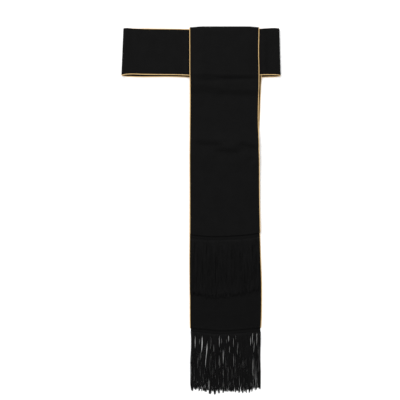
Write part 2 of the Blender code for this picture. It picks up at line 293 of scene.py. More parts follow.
# How far down the middle line of the band's front and back layers lies, along the band.
FRONT_LIE = (
    Lie(-244, 61.5),
    Lie(-236, 59.9),
    Lie(-224, 58.9),
    Lie(-199, 59.5),
    Lie(-142, 60.3),
    Lie(-112, 60.6),
    Lie(-100, 61.0),
    Lie(-86, 61.9),
    Lie(0, 61.8),
    Lie(84, 61.2),
    Lie(104, 60.5),
    Lie(118, 60.8),
    Lie(126, 61.5),
    Lie(130, 62.1),
)
BACK_LIE = (
    Lie(-244, 62.2),
    Lie(-234, 64.0),
    Lie(-222, 64.6),
    Lie(-120, 65.1),
    Lie(-86, 66.2),
    Lie(-56, 66.6),
    Lie(84, 66.0),
    Lie(104, 65.6),
    Lie(122, 65.0),
    Lie(130, 63.5),
)

# Where the front fall starts to come down from the waistband.
BAND_DROP = (
    Bow(-85, 132.5),
    Bow(-50, 138),
    Bow(-10, 145),
    Bow(30, 149.3),
    Bow(60, 149),
    Bow(86, 147),
)

# The share of its width by which the band's top piping is rolled to the back, along the band.
TOP_ROLL = (
    Roll(-260, 1),
    Roll(-236, 1),
    Roll(-228, 0.6),
    Roll(-206, 0.4),
    Roll(-192, 0),
    Roll(-180, 0),
    Roll(64, 0),
    Roll(78, 0),
    Roll(92, 0.9),
    Roll(110, 1.0),
    Roll(140, 1.0),
)
NOT_ROLLED = (Roll(-1000, 0), Roll(1000, 0))

# The front fall's lying waves: where each ends, and how high the fall stands there above the back fall.
FRONT_WAVES = (
    Wave(163, 168.5, 0.3),
    Wave(214, 224, 1.6),
    Wave(277, 295, 0.0),
    Wave(362, 370, 1.2),
    Wave(444, 450, 0.1),
    Wave(520, 520, 0.5),
)

# The hems, across the falls.
FRONT_HEM_BOW = (
    Bow(-85, 497.0),
    Bow(-60, 500.4),
    Bow(-28, 502.2),
    Bow(0, 501.8),
    Bow(30, 500),
    Bow(58, 497.6),
    Bow(74, 495),
    Bow(86, 491.5),
)
BACK_HEM_BOW = (
    Bow(-85, 722.6),
    Bow(-48, 725.0),
    Bow(-24, 727.8),
    Bow(0, 728.6),
    Bow(24, 727),
    Bow(60, 723.8),
    Bow(88, 721.6),
)

# The line of the fringes' tips.
FRONT_ENDS = (Bow(-85, 641), Bow(-30, 650), Bow(10, 647), Bow(50, 641), Bow(86, 632))
BACK_ENDS = (Bow(-85, 868), Bow(-58, 872), Bow(-29, 877), Bow(15, 874), Bow(60, 873), Bow(88, 864))

# The long crossing waves of cloth laid by hand: their size, their lengths in metres, and their start.
RIPPLES = (
    Ripple(1.0, 0.031, 0.083, 0.4),
    Ripple(1.0, -0.047, 0.039, 1.9),
    Ripple(0.6, 0.019, -0.061, 4.1),
    Ripple(0.6, 0.067, 0.023, 2.7),
)

# A stitch's sections along its length.
STITCH_SECTIONS = (
    Section(0.0, -0.9, 0.5),
    Section(0.2, 0.1, 1.0),
    Section(0.5, 0.5, 1.0),
    Section(0.8, 0.1, 1.0),
    Section(1.0, -0.9, 0.5),
)

# Soft creases, in millimetres: their middle, their turn in degrees from across, and their size.
FRONT_CREASES = (
    Crease(0, -114.5, 0, 156, 2.4, 0.35),
    Crease(24, -124, 0, 90, 3.6, -0.9),
    Crease(14, -137, 3, 90, 6, 0.7),
    Crease(-50, -139, -4, 70, 7, 0.5),
    Crease(4, -294, -3, 200, 34, 8.2),
    Crease(-39, -286, -4, 62, 10.0, -7.6),
    Crease(6, -303, -3, 58, 9.0, -6.4),
    Crease(58, -291, -15, 50, 9.0, -6.7),
    Crease(66, -318, -50, 14, 5, -2.0),
    Crease(-60, -180, 82, 60, 5, 0.3),
    Crease(50, -230, 95, 90, 6, 0.3),
    Crease(-20, -400, 88, 110, 8, 0.3),
    Crease(30, -440, 96, 70, 7, 0.3),
)
BACK_CREASES = (
    Crease(-40, -640, 86, 70, 6, 0.3),
    Crease(52, -675, 97, 60, 5, 0.3),
    Crease(10, -600, 4, 90, 8, 0.4),
    Crease(0, -300, 3, 120, 9, 0.3),
    Crease(30, -430, -5, 100, 8, 0.3),
)
BAND_CREASES = (
    Crease(118, -52, 88, 56, 2.2, 0.45),
    Crease(123.5, -66, 93, 50, 2.0, 0.4),
    Crease(-238, -40, 88, 44, 2.2, 0.4),
    Crease(-170, -60, 5, 80, 9, 0.4),
    Crease(-120, -84, -4, 60, 8, 0.3),
)

# Where the fringes' cords part and lean, in millimetres across the falls and down from the hem.
BACK_PARTINGS = (
    Parting(-71.5, 14, 50, 1.5, 6),
    Parting(-61.5, 20, 40, 1.5, 4),
    Parting(-55.0, 14, 60, 2.5, 6),
    Parting(-46.5, 34, 62, 1.6, 4),
    Parting(-42.5, 26, 100, 2.4, 7),
    Parting(-34.0, 6, 50, 2.4, 5),
    Parting(-35.5, 112, 150, 1.8, 5),
    Parting(-27.0, 30, 56, 1.3, 4),
    Parting(-13.4, 10, 44, 2.2, 6),
    Parting(-13.4, 50, 104, 1.8, 7),
    Parting(-8.5, 14, 34, 1.1, 3),
    Parting(-4.2, 42, 84, 1.8, 5),
    Parting(-4.0, 86, 118, 1.1, 5),
    Parting(3.6, 14, 36, 1.6, 3),
    Parting(8.6, 8, 30, 1.8, 3),
    Parting(10.5, 34, 54, 0.9, 3),
    Parting(20.4, 16, 40, 1.5, 4),
    Parting(25.5, 10, 28, 0.9, 3),
    Parting(31.0, 26, 50, 0.9, 4),
    Parting(58.0, 84, 104, 1.4, 5),
    Parting(61.2, 14, 46, 1.4, 4),
    Parting(66.2, 6, 42, 1.9, 4),
    Parting(70.6, 24, 66, 2.2, 4),
    Parting(76.2, -2, 44, 1.2, 5),
    Parting(71.0, 60, 124, 3.0, 7),
    Parting(77.0, 90, 140, 1.2, 5),
)
BACK_LEANS = (
    Lean(-46, 14, 24, 90, -4.5),
    Lean(69, 9, 30, 92, -4.2),
    Lean(-84, 7, 2, 26, 1.2),
    Lean(-84, 7, 50, 76, -1.2),
    Lean(85, 6, 34, 56, -0.9),
    Lean(85, 6, 76, 110, 0.9),
)
FRONT_PARTINGS = (
    Parting(-72, 12, 60, 1.3, 5),
    Parting(-64, 20, 84, 1.6, 6),
    Parting(-53, 70, 130, 1.6, 6),
    Parting(-44, 14, 50, 1.4, 6),
    Parting(-22, 50, 120, 1.8, 7),
    Parting(-6, 14, 48, 1.4, 6),
    Parting(5, 60, 140, 1.5, 6),
    Parting(16, 16, 70, 1.6, 6),
    Parting(34, 30, 90, 1.5, 6),
    Parting(48, 60, 140, 1.9, 7),
    Parting(66, 14, 60, 1.5, 6),
    Parting(76, 40, 110, 1.5, 5),
)
FRONT_LEANS = (
    Lean(-84, 24, 0, 120, -3.6),
    Lean(20, 30, 30, 140, -2.5),
    Lean(84, 20, 0, 140, -2.0),
)


def ease(share):
    """0 to 1 along a smooth step with level ends."""
    share = np.clip(share, 0.0, 1.0)
    return share * share * (3 - 2 * share)


def quarter_circle(share):
    """0 to 1 along a quarter circle, steep at its start and level at its end."""
    return np.sqrt(1 - (1 - np.clip(share, 0, 1)) ** 2)


def run_of(line):
    """How far each point of a line lies from the line's start, along the line."""
    return np.concatenate([[0], np.cumsum(np.linalg.norm(np.diff(line, axis=0), axis=1))])


def along(table, at, column):
    """A column's value in metres at each place, on a smooth curve through a table's rows in millimetres.

    The table's first column holds the places. Between two rows the curve is the cubic with their values and
    slopes.
    """
    places = np.array([row[0] for row in table], float) * MM
    values = np.array([getattr(row, column) for row in table], float) * MM
    slopes = np.gradient(values, places)
    at = np.clip(np.asarray(at, float), places[0], places[-1])
    row = np.clip(np.searchsorted(places, at) - 1, 0, len(places) - 2)
    span = places[row + 1] - places[row]
    t = (at - places[row]) / span
    return (
        (1 + 2 * t) * (1 - t) ** 2 * values[row]
        + t * (1 - t) ** 2 * span * slopes[row]
        + t * t * (3 - 2 * t) * values[row + 1]
        + t * t * (t - 1) * span * slopes[row + 1]
    )


def crown(x):
    """1 over the lap, and 0 at the falls' edges."""
    return ease((x + FALLS_EDGE) / LAP_SLOPE) * ease((FALLS_EDGE - x) / LAP_SLOPE)


def creased(x, y, creases):
    """The sum of soft troughs and ridges: each a bell curve across its line, fading at both of its ends.

    A trough drops off steeply on its upper side and comes up again gently below, as in hanging cloth.
    """
    total = np.zeros_like(x)
    for crease in creases:
        turn = math.radians(crease.turn)
        dx, dy = x - crease.x * MM, y - crease.y * MM
        run = (dx * math.cos(turn) + dy * math.sin(turn)) / (crease.length * MM / 2)
        off = (dy * math.cos(turn) - dx * math.sin(turn)) / (crease.width * MM)
        if crease.height < 0:
            off = np.where(off < 0, off / GENTLE_SIDE, off)
        total += crease.height * MM * np.exp(-off * off) * np.exp(-(run**4))
    return total


def lying_waves(x, y, height):
    """A gentle unevenness of cloth that was laid by hand: four long crossing waves, none below zero."""
    waves = sum(one.size * np.sin(x / one.across + y / one.down + one.start) for one in RIPPLES)
    return height * (waves / sum(one.size for one in RIPPLES) + 1) / 2


def front_fall_height(x, down):
    """The underside of the front fall, in smooth steps: over the lap and the waistband, down onto the back
    fall, and on in soft waves."""
    across = (x + FALLS_EDGE) / (2 * FALLS_EDGE)
    change = ease((x - LAP_DROP_CHANGE) / LAP_DROP_CHANGE_WIDTH)
    half = LAP_DROP_HALF_LEFT + (LAP_DROP_HALF - LAP_DROP_HALF_LEFT) * change
    off_the_lap = ease((down - LAP_DROP + half) / (2 * half))
    height = np.full_like(x, ON_BAND)
    start = along(BAND_DROP, x, "down")
    for wave in FRONT_WAVES:
        end = (wave.left_down + (wave.right_down - wave.left_down) * across) * MM
        step = ease((down - start) / (end - start))
        height = height + (LAYER + wave.rise * MM - height) * step
        start = end
    return height + LAP_RISE * crown(x) * (1 - off_the_lap)


def back_fall_height(down):
    """The underside of the back fall: over the waistband's back layer, then down onto the surface."""
    return LAYER * (1 - ease((down - BACK_DROP_START) / (BACK_DROP_END - BACK_DROP_START)))


def columns_across(width, count):
    """Shares across a strip: even columns, and closer ones in the last millimetres at each edge."""
    near = np.array(EDGE_COLUMNS) * MM / width
    inner = np.linspace(near[-1], 1 - near[-1], count)[1:-1]
    return np.concatenate([near, inner, 1 - near[::-1]])


def falls_surface():
    """The falls' middle surface, from front hem to back hem: across its width by down each fall.

    Each row runs straight across between the two edge tables and is bent near its hem. Its height is the
    wall's own, plus creases and a gentle unevenness. Round the top fold, a row goes through half a turn.
    """
    shares = columns_across(2 * FALLS_EDGE, FALLS_COLUMNS)

    def row_across(edges, down):
        left = along(edges, down, "left") + EDGE_TO_CLOTH - INTO_SEAM
        right = along(edges, down, "right") - EDGE_TO_CLOTH + INTO_SEAM
        return left + (right - left) * shares

    def rows(downs, edges, hem, bow, height, creases, unevenness):
        down = downs[:, None]
        x = row_across(edges, down)
        bent = down + (along(bow, x, "down") - hem) * ease((down - hem + HEM_BEND) / HEM_BEND)
        settled = ease(bent / CALM) * ease((hem + CALM_PAST_HEM - bent) / CALM)
        z = height(x, bent) + CLOTH / 2
        z = z + settled * (creased(x, -bent, creases) + lying_waves(x, bent, unevenness))
        return np.stack([x, -bent, z], axis=-1)

    front_rows = np.linspace(FRONT_HEM - ROWS_TO_HEM, FOLD_TO_ROWS, FRONT_ROWS)
    back_rows = np.linspace(FOLD_TO_ROWS, BACK_HEM - ROWS_TO_HEM, BACK_ROWS)
    front = rows(
        np.concatenate([hem_steps(FRONT_HEM), front_rows]), FRONT_EDGES, FRONT_HEM, FRONT_HEM_BOW,
        front_fall_height, FRONT_CREASES, UNEVENNESS,
    )
    back = rows(
        np.concatenate([back_rows, hem_steps(BACK_HEM)[::-1]]), BACK_EDGES, BACK_HEM, BACK_HEM_BOW,
        lambda _, down: back_fall_height(down), BACK_CREASES, BACK_UNEVENNESS,
    )

    x = row_across(FRONT_EDGES, 0.0)
    upper = ON_BAND + LAP_RISE * crown(x) + CLOTH / 2
    lower = np.full_like(x, LAYER + CLOTH / 2)
    radius = (upper - lower) / 2
    outer = -TOP_DIP * (1 - crown(x)) - CLOTH / 2
    angle = HALF_TURN[:, None]
    fold = np.stack(
        [
            x + 0 * angle,
            outer - radius + radius * np.cos(angle),
            (upper + lower) / 2 + radius * np.sin(angle),
        ],
        axis=-1,
    )
    return np.concatenate([front, fold, back])


def hem_steps(hem):
    """Closer and closer rows in the last millimetres before a hem, from the hem inwards."""
    return hem - np.array(HEM_ROWS) * MM


def band_surface():
    """The waistband's middle surface, from its under end round the loop to its over end.

    Its path runs at the height of what it lies on, rises into each end fold and goes half a turn round it.
    A row of the surface is the path's point, slid up or down the band's height along the slanted fold line.
    Rows lie closest at the strip's ends, in its folds, and where it steps over another layer.
    """
    right_centre = RIGHT_FOLD - CLOTH / 2 - FOLD_RADIUS
    left_centre = LEFT_FOLD + CLOTH / 2 + FOLD_RADIUS
    lying = LAYER + CLOTH / 2
    swollen = CLOTH / 2 + 2 * FOLD_RADIUS

    def front(stretch):
        xs = np.linspace(stretch.start, stretch.end, stretch.rows)
        outside = ease((np.abs(xs - STEP_MIDDLE) - STEP_START) / STEP_LENGTH)
        z = ON_BACK_FALL + CLOTH / 2 + (lying - ON_BACK_FALL - CLOTH / 2) * outside
        z = z + (LAP_RISE * crown(xs) if stretch.over_lap else 0.0)
        right_swell = ease((xs - right_centre + FOLD_SWELL) / FOLD_SWELL)
        left_swell = ease((left_centre + FOLD_SWELL - xs) / FOLD_SWELL)
        z = z + (swollen - lying) * np.maximum(right_swell, left_swell)
        return np.stack([xs, -along(FRONT_LIE, xs, "middle"), z], axis=1)

    def end_fold(centre, side, angle):
        x = centre + side * FOLD_RADIUS * np.cos(angle)
        z = CLOTH / 2 + FOLD_RADIUS + FOLD_RADIUS * np.sin(angle)
        share = (1 - np.sin(angle)) / 2
        upper = -along(FRONT_LIE, np.full_like(x, centre), "middle")
        lower = -along(BACK_LIE, np.full_like(x, centre), "middle")
        return np.stack([x, upper + (lower - upper) * share, z], axis=1)

    under_end = (
        Stretch(LAP_LEFT, LAP_LEFT + 1.5 * MM, 5, False),
        Stretch(LAP_LEFT + 5 * MM, 86 * MM, 30, False),
        Stretch(89 * MM, right_centre - 0.7 * MM, 26, False),
    )
    over_end = (
        Stretch(left_centre + 0.7 * MM, left_centre + FOLD_SWELL, 14, False),
        Stretch(left_centre + FOLD_SWELL + 3 * MM, -104 * MM, 32, False),
        Stretch(-101 * MM, -53 * MM, 26, True),
        Stretch(-49 * MM, LAP_RIGHT - 5 * MM, 24, True),
        Stretch(LAP_RIGHT - 1.5 * MM, LAP_RIGHT, 5, True),
    )
    back_x = np.linspace(right_centre - 3 * MM, left_centre + 3 * MM, BAND_BACK_ROWS)
    back = np.stack([back_x, -along(BACK_LIE, back_x, "middle"), np.full_like(back_x, CLOTH / 2)], axis=1)
    path = np.concatenate(
        [front(stretch) for stretch in under_end]
        + [end_fold(right_centre, 1, HALF_TURN), back, end_fold(left_centre, -1, HALF_TURN[::-1])]
        + [front(stretch) for stretch in over_end]
    )
    height = BAND_HEIGHT - 2 * EDGE_TO_CLOTH + 2 * INTO_SEAM
    slant = np.interp(path[:, 0], [LEFT_FOLD, RIGHT_FOLD], [LEFT_FOLD_SLANT, RIGHT_FOLD_SLANT])
    share = 0.5 - columns_across(height, BAND_COLUMNS)
    x = path[:, 0, None] + slant[:, None] * share
    left_corner = LEFT_CORNER * (1 - ease((path[:, 0] - LEFT_FOLD) / LEFT_CORNER_REACH))
    right_corner = RIGHT_CORNER * (1 - ease((RIGHT_FOLD - path[:, 0]) / RIGHT_CORNER_REACH))
    y = path[:, 1, None] + height * share + (left_corner + right_corner)[:, None] * (share + 0.5)
    z = path[:, 2, None] + 0 * share
    on_top = ease((z - RELIEF_LEVEL) / RELIEF_FADE)
    inside = np.abs(x) < FALLS_EDGE + RELIEF_GAP
    relief = creased(x, y, BAND_CREASES) + lying_waves(x, y, UNEVENNESS)
    z = z + np.where(inside, 0.0, relief * on_top)
    return np.stack([x, y, z], axis=-1)


def normals_of(grid):
    """The unit normal at each point of a grid of points: the cross product of its two directions."""
    down = np.gradient(grid, axis=0)
    across = np.gradient(grid, axis=1)
    normal = np.cross(across, down)
    return normal / np.linalg.norm(normal, axis=-1, keepdims=True)


def placed(points):
    """Points moved from the layout round the falls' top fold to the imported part's place."""
    tape_low, tape_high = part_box("closure_hook_tape")
    middle = (tape_low[0] + tape_high[0]) / 2 - (LAP_LEFT + LAP_RIGHT) / 2
    return points + np.array([middle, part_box("falls")[1][1], 0.0])


def made(name, points, faces, uvs, finish, *nodes):
    """A piece from arrays of points, faces and one UV pair for each face corner, riding on the frame."""
    mesh = bpy.data.meshes.new(name)
    mesh.from_pydata(placed(points.reshape(-1, 3)).tolist(), [], [list(face) for face in faces])
    layer = mesh.uv_layers.new(name="Cut")
    layer.data.foreach_set("uv", np.concatenate(uvs).astype(np.float32).ravel())
    mesh.shade_smooth()
    mesh.materials.append(finish)
    piece = bpy.data.objects.new(name, mesh)
    bpy.context.scene.collection.objects.link(piece)
    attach(piece, RIDES_ON)
    if nodes:
        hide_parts(*nodes)
    return piece


def quads(index):
    """The faces between the neighbouring rows and columns of a grid of point numbers."""
    corners = [index[:-1, :-1], index[1:, :-1], index[1:, 1:], index[:-1, 1:]]
    return np.stack(corners, axis=-1).reshape(-1, 4)


def grid_uvs(grid):
    """A UV pair in millimetres for each face corner of a grid.

    U runs across the grid, measured along its middle row, and V down it, along its middle column.
    """
    rows, columns = grid.shape[:2]
    u = run_of(grid[rows // 2]) / MM
    v = run_of(grid[:, columns // 2]) / MM
    pairs = np.stack(np.meshgrid(u, v), axis=-1).reshape(-1, 2)
    return pairs[quads(np.arange(rows * columns).reshape(rows, columns))].reshape(-1, 2)


def turned_over(uv):
    """The UV pairs of the same faces with their corners the other way round."""
    return uv.reshape(-1, 4, 2)[:, ::-1].reshape(-1, 2)


def joined(upper, lower):
    """Two grids of points over each other that share their outermost rows and columns.

    Gives the points that are used, and the upper and the lower grid's numbers among them.
    """
    number = np.arange(upper[..., 0].size).reshape(upper.shape[:2])
    under = number + number.size
    rim = np.zeros(number.shape, bool)
    rim[[0, -1]] = True
    rim[:, [0, -1]] = True
    under[rim] = number[rim]
    used = np.unique(np.concatenate([number.ravel(), under.ravel()]))
    renumber = np.zeros(2 * number.size, int)
    renumber[used] = np.arange(len(used))
    points = np.concatenate([upper.reshape(-1, 3), lower.reshape(-1, 3)])[used]
    return points, renumber[number], renumber[under]


def cloth_piece(name, grid, finish, wrong_side, *nodes):
    """A cloth with two faces: the middle surface moved out both ways along its normals.

    Its thickness follows a quarter circle in the last stretch before each edge, so the faces meet in a
    rounded edge. The second face shows the cloth's wrong side, in its own material, which here is painted a
    shade darker.
    """
    from_side = np.linalg.norm(grid - grid[:, :1], axis=-1)
    from_side = np.minimum(from_side, np.linalg.norm(grid - grid[:, -1:], axis=-1))
    run = run_of(grid[:, grid.shape[1] // 2])
    from_end = np.minimum(run, run[-1] - run)[:, None]
    nearest = np.minimum(from_side, from_end)
    half = FACE_TO_FACE / 2 * quarter_circle(nearest / EDGE_ROUNDING)
    step = normals_of(grid) * half[..., None]
    points, right_grid, wrong_grid = joined(grid + step, grid - step)
    right_faces = quads(right_grid)[:, ::-1]
    faces = np.concatenate([right_faces, quads(wrong_grid)])
    uv = grid_uvs(grid)
    piece = made(name, points, faces, [turned_over(uv), uv], finish, *nodes)
    piece.data.materials.append(wrong_side)
    sides = np.repeat([0, 1], len(right_faces)).astype(np.int32)
    piece.data.polygons.foreach_set("material_index", sides)
    return piece


def ringed_piece(name, rings, finish, *nodes):
    """Closed tubes from an array of rings, which is tubes by stations by points round each ring.

    Neighbouring rings are joined by four-sided faces, and the first and last ring are faces themselves.
    U goes round the tube and V along it, in millimetres, and both are shifted from tube to tube.
    """
    tubes, stations, sides = rings.shape[:3]
    number = np.arange(tubes * stations * sides).reshape(tubes, stations, sides)
    wrapped = np.concatenate([number, number[:, :, :1]], axis=2)
    walls = np.stack(
        [wrapped[:, :-1, :-1], wrapped[:, :-1, 1:], wrapped[:, 1:, 1:], wrapped[:, 1:, :-1]], axis=-1
    ).reshape(-1, 4)
    starts, ends = number[:, 0, ::-1], number[:, -1]
    run = np.linalg.norm(np.diff(rings.mean(axis=2), axis=1), axis=-1)
    v = np.concatenate([np.zeros((tubes, 1)), np.cumsum(run, axis=1)], axis=1)[..., None] / MM
    girth = np.linalg.norm(rings[:, stations // 2, 0] - rings[:, stations // 2, sides // 2], axis=-1).mean()
    u = np.arange(sides + 1) / sides * girth * math.pi / MM
    pairs = np.stack(np.broadcast_arrays(u, v), axis=-1)
    pairs = pairs + np.arange(tubes)[:, None, None, None] * np.array(TUBE_SHIFT)
    wall_uvs = np.stack(
        [pairs[:, :-1, :-1], pairs[:, :-1, 1:], pairs[:, 1:, 1:], pairs[:, 1:, :-1]], axis=-2
    ).reshape(-1, 2)
    end_uvs = np.zeros((2 * tubes * sides, 2))
    faces = list(walls) + list(starts) + list(ends)
    return made(name, rings, faces, [wall_uvs, end_uvs], finish, *nodes)


def ring_round(middle, side, rise, radius, angle):
    """A ring round each middle point: its radius at each angle, out along the side and the rise."""
    middle, side, rise = (part[..., None, :] for part in (middle, side, rise))
    return middle + (radius * np.cos(angle))[..., None] * side + (radius * np.sin(angle))[..., None] * rise


def piping_piece(name, edge, outwards, finish, node, roll):
    """A piping beside a cloth edge: a round section with a lip in the seam, carried along the edge.

    The section's radius is the cord's, with a narrow bell that reaches towards the cloth. The wrap pulls in
    a little at every stitch. Where the edge of an upper layer is rolled, the section slips in under the
    cloth by a share of its width.
    """
    out = np.array(outwards, float)
    tangent = np.gradient(edge, axis=0)
    tangent /= np.linalg.norm(tangent, axis=1, keepdims=True)
    side = out - (tangent @ out)[:, None] * tangent
    side /= np.linalg.norm(side, axis=1, keepdims=True)
    rise = np.cross(tangent, side)
    upper_layer = ease((edge[:, 2] - CLOTH) / LAYER * 2)
    rolled = along(roll, edge[:, 0], "share") / MM * upper_layer
    reach = SEAM_GAP + PIPING - PIPING_RADIUS - ROLLED_IN * rolled
    middle = edge + out * reach[:, None]
    middle[:, 2] += (PIPING - CLOTH) / 2 - ROLLED_DOWN * rolled
    run = run_of(edge)
    angle = np.linspace(0, 2 * math.pi, PIPING_SIDES, endpoint=False)
    lip = LIP_REACH * np.exp(-(((angle - math.pi) / LIP_ANGLE) ** 2))
    pull = 1 + PUCKER * np.cos(2 * math.pi * run / STITCH_PITCH) + SWELL * np.sin(run / SWELL_LENGTH)
    radius = PIPING_RADIUS * pull[:, None] + lip
    radius[[0, -1]] *= PIPING_END
    return ringed_piece(name, ring_round(middle, side, rise, radius, angle)[None], finish, node)


def finer(line, pitch):
    """A line of points read again at an even pitch."""
    run = run_of(line)
    at = np.linspace(0, run[-1], int(run[-1] / pitch) + 1)
    return np.stack([np.interp(at, run, line[:, k]) for k in range(3)], axis=1)


def stitch_rings(line, normals):
    """Stitches along a line: each a ring carried over its length, thickest and highest in its middle."""
    run = run_of(line)
    starts = np.arange(STITCH_PITCH, run[-1] - STITCH_PITCH, STITCH_PITCH)
    share, arch, thickness = np.array(STITCH_SECTIONS).T
    at = starts[:, None] + STITCH_LENGTH * share
    middle = np.stack([np.interp(at, run, line[:, k]) for k in range(3)], axis=-1)
    up = np.stack([np.interp(at, run, normals[:, k]) for k in range(3)], axis=-1)
    forward = np.gradient(middle, axis=1)
    forward /= np.linalg.norm(forward, axis=-1, keepdims=True)
    side = np.cross(up, forward)
    middle = middle + up * (arch * STITCH_THICKNESS * STITCH_ARCH)[:, None]
    radius = (thickness * STITCH_THICKNESS / 2)[:, None]
    angle = np.linspace(0, 2 * math.pi, STITCH_SIDES, endpoint=False)
    return ring_round(middle, side, up, radius, angle)


def edge_stitching(name, grid, finish):
    """Rows of stitches beside both long edges of a cloth and along its two hems, on both of its faces."""
    normals = normals_of(grid)
    middle_row = grid[grid.shape[0] // 2]
    middle_column = grid[:, grid.shape[1] // 2]
    found = []
    for end in (0, -1):
        reach = np.linalg.norm(middle_row - middle_row[end], axis=-1)
        column = int(np.argmin(np.abs(reach - STITCH_INSET)))
        depth = np.linalg.norm(middle_column - middle_column[end], axis=-1)
        row = int(np.argmin(np.abs(depth - HEM_STITCH_INSET)))
        for line, up in ((grid[:, column], normals[:, column]), (grid[row], normals[row])):
            for sign in (1, -1):
                found.append(stitch_rings(line + sign * up * FACE_TO_FACE / 2, sign * up))
    return ringed_piece(name, np.concatenate(found), finish)


def hem_at(hem_line, x):
    """The hem's Y at each place across the falls, read from the hem's line of points."""
    order = np.argsort(hem_line[:, 0])
    return np.interp(x, hem_line[order, 0], hem_line[order, 1])


def heading_piece(name, hem_line, level, finish):
    """A fringe's woven heading: a flat strip along a hem, with a raised chain in each of its lower rows.

    The face's height is a row of rounded ridges across the strip's height, each cut into slanting links that
    lean the other way from row to row.
    """
    columns = int(np.ptp(hem_line[:, 0]) / HEADING_STEP)
    x = np.linspace(hem_line[0, 0], hem_line[-1, 0], columns)
    down = np.linspace(-HEADING_TUCK, HEADING_HEIGHT, HEADING_ROWS)[:, None]
    row = np.clip((down - GROOVE) / (HEADING_HEIGHT - GROOVE), 0, 0.999) * CHAIN_ROWS
    ridge = np.abs(np.sin(math.pi * row))
    lean = np.where(np.floor(row) % 2 == 0, 1.0, -1.0)
    link = np.abs(np.sin(math.pi * (x / LINK_LENGTH + lean * (row % 1) * LINK_LEAN)))
    chain = CHAIN_HEIGHT * ridge**0.7 * (0.35 + 0.65 * link**0.6)
    below_groove = ease((down - GROOVE * 0.6) / (GROOVE * 0.4))
    before_end = ease((HEADING_HEIGHT + YARN - down) / YARN_END)
    z = level + HEADING_TAPE + (YARN + chain) * (below_groove * before_end)
    y = hem_at(hem_line, x) - down + 0 * x
    top = np.stack([x + 0 * down, y, z], axis=-1)
    bottom = top.copy()
    bottom[..., 2] = level
    rows, across = top.shape[:2]
    number = np.arange(rows * across).reshape(rows, across)
    under = number + rows * across
    wall = [
        np.stack([under[0], number[0]]),
        np.stack([number[-1], under[-1]]),
        np.stack([number[:, 0], under[:, 0]]),
        np.stack([under[:, -1], number[:, -1]]),
    ]
    faces = [quads(number), quads(under)[:, ::-1]] + [quads(strip) for strip in wall]
    uv = grid_uvs(top)
    blank = np.zeros((sum(len(part) for part in faces[2:]) * 4, 2))
    points = np.concatenate([top.reshape(-1, 3), bottom.reshape(-1, 3)])
    return made(name, points, np.concatenate(faces), [uv, uv, blank], finish)


def tape_piece(name, node, upwards, relief, finish):
    """A closure tape: a thin pad in its solid's place, with a woven border and a field of hooks or loops.

    The pad's face is a grid across the tape and along it. Its height is the backing's, plus the relief of
    each point of the field, and it falls to the other face in a rounded edge.
    """
    low, high = (np.array(corner) - placed(np.zeros(3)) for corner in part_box(node))
    x = np.linspace(low[0], high[0], int((high[0] - low[0]) / TAPE_STEP) + 1)
    y = np.linspace(high[1], low[1], int((high[1] - low[1]) / TAPE_STEP) + 1)
    x, y = np.meshgrid(x, y)
    inset = np.minimum(np.minimum(x - low[0], high[0] - x), np.minimum(y - low[1], high[1] - y))
    backing = TAPE_BACKING * quarter_circle(inset / TAPE_ROUNDING)
    field = ease((inset - TAPE_BORDER) / TAPE_FIELD_RISE)
    face = backing + (TAPE - TAPE_BACKING) * field * relief(x - low[0], y - low[1])
    base = low[2] if upwards else high[2]
    sign = 1 if upwards else -1
    top = np.stack([x, y, base + sign * face], axis=-1)
    bottom = np.stack([x, y, np.full_like(x, base)], axis=-1)
    points, top_grid, bottom_grid = joined(top, bottom)
    faces = np.concatenate([quads(top_grid), quads(bottom_grid)[:, ::-1]])
    uv = grid_uvs(top)
    uvs = [uv, turned_over(uv)]
    if not upwards:
        faces = faces[:, ::-1]
        uvs = uvs[::-1]
    return made(name, points, faces, uvs, finish, node)


def hooks(x, y):
    """Rows of small upright hooks, as peaks of crossing waves, set off by half a step from row to row."""
    row = np.floor(y / HOOK_STEP)
    across = np.abs(np.sin(math.pi * (x / HOOK_STEP + row / 2)))
    return (across * np.abs(np.sin(math.pi * y / HOOK_STEP))) ** 2


def loops(x, y):
    """A brushed pile of loops: two crossing waves that wander, nowhere deep."""
    across = np.sin(x / (0.7 * MM) + np.sin(y / (1.9 * MM)))
    down = np.sin(y / (0.8 * MM) + np.sin(x / (2.3 * MM)))
    return 0.6 + 0.2 * across + 0.2 * down


